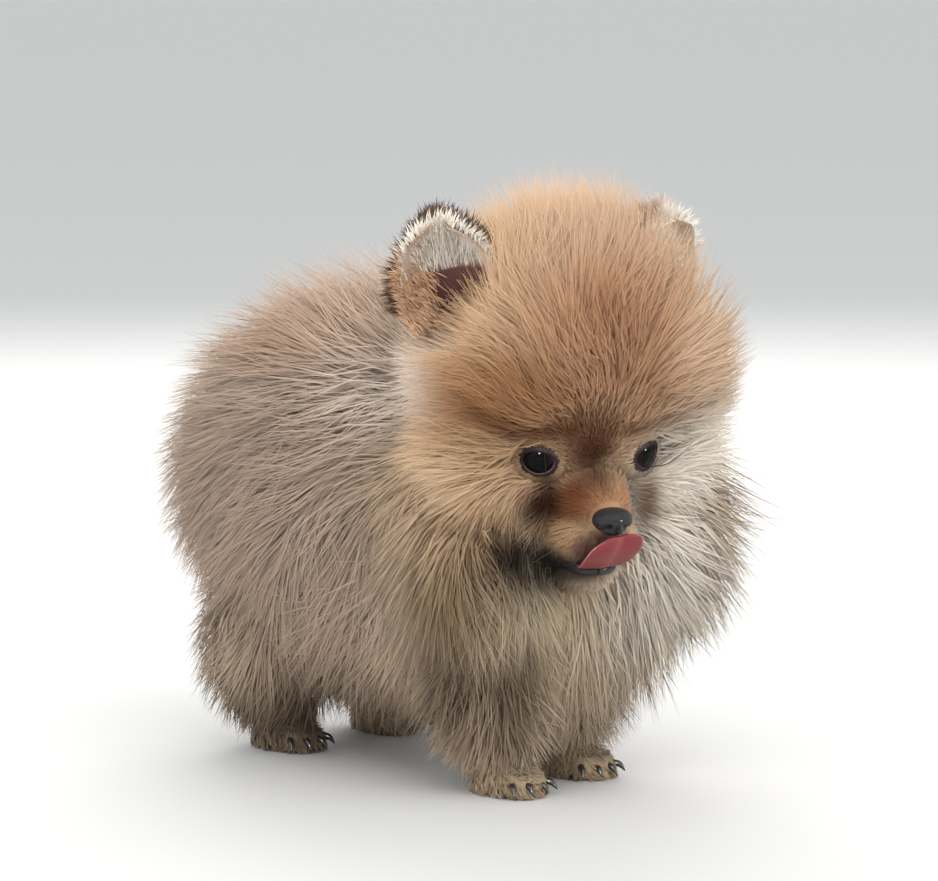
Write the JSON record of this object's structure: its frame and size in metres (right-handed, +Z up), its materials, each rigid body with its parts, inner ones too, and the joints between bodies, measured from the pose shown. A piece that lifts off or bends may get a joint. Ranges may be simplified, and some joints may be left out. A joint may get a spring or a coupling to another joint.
{
  "type": "pomeranian puppy",
  "caption": "Life-size still model of a fluffy pomeranian puppy that stands on four feet, head turned and bowed, tongue up over its nose.",
  "frame": {"origin": "on the floor, under the middle of the whole puppy's box", "axes": "the body faces -Y, +Z is up, +X is the puppy's own left"},
  "size_m": [0.145, 0.212, 0.1851],
  "materials": {
    "tan_fur": "long soft orange-tan coat of the head",
    "cream_fur": "long soft cream coat of ruff, chest and feet",
    "grey_tan_fur": "long soft greyish tan coat of the body",
    "ear_fur": "dark brown fringe round the ear, cream inside",
    "dark_lip": "black lip skin with short black fur",
    "nose_leather": "moist finely grained black nose",
    "tongue": "wet pink-red",
    "eye": "very dark glossy eye under a clear cornea",
    "claw": "dark horn"
  },
  "bodies": {
    "root": {"head": "tan_fur", "lower_jaw": "dark_lip", "nose": "nose_leather", "tongue": "tongue", "eye_left": "eye", "ear_left": "ear_fur", "eye_right": "eye", "ear_right": "ear_fur", "neck": "cream_fur", "torso": "grey_tan_fur", "tail": "grey_tan_fur", "foreleg_right": "grey_tan_fur", "forepaw_right": "cream_fur", "claw_fore_right_1": "claw", "claw_fore_right_2": "claw", "claw_fore_right_3": "claw", "claw_fore_right_4": "claw", "foreleg_left": "grey_tan_fur", "forepaw_left": "cream_fur", "claw_fore_left_1": "claw", "claw_fore_left_2": "claw", "claw_fore_left_3": "claw", "claw_fore_left_4": "claw", "hindleg_right": "grey_tan_fur", "hindpaw_right": "cream_fur", "claw_hind_right_1": "claw", "claw_hind_right_2": "claw", "claw_hind_right_3": "claw", "claw_hind_right_4": "claw", "hindleg_left": "grey_tan_fur", "hindpaw_left": "cream_fur", "claw_hind_left_1": "claw", "claw_hind_left_2": "claw", "claw_hind_left_3": "claw", "claw_hind_left_4": "claw"}
  },
  "joints": []
}
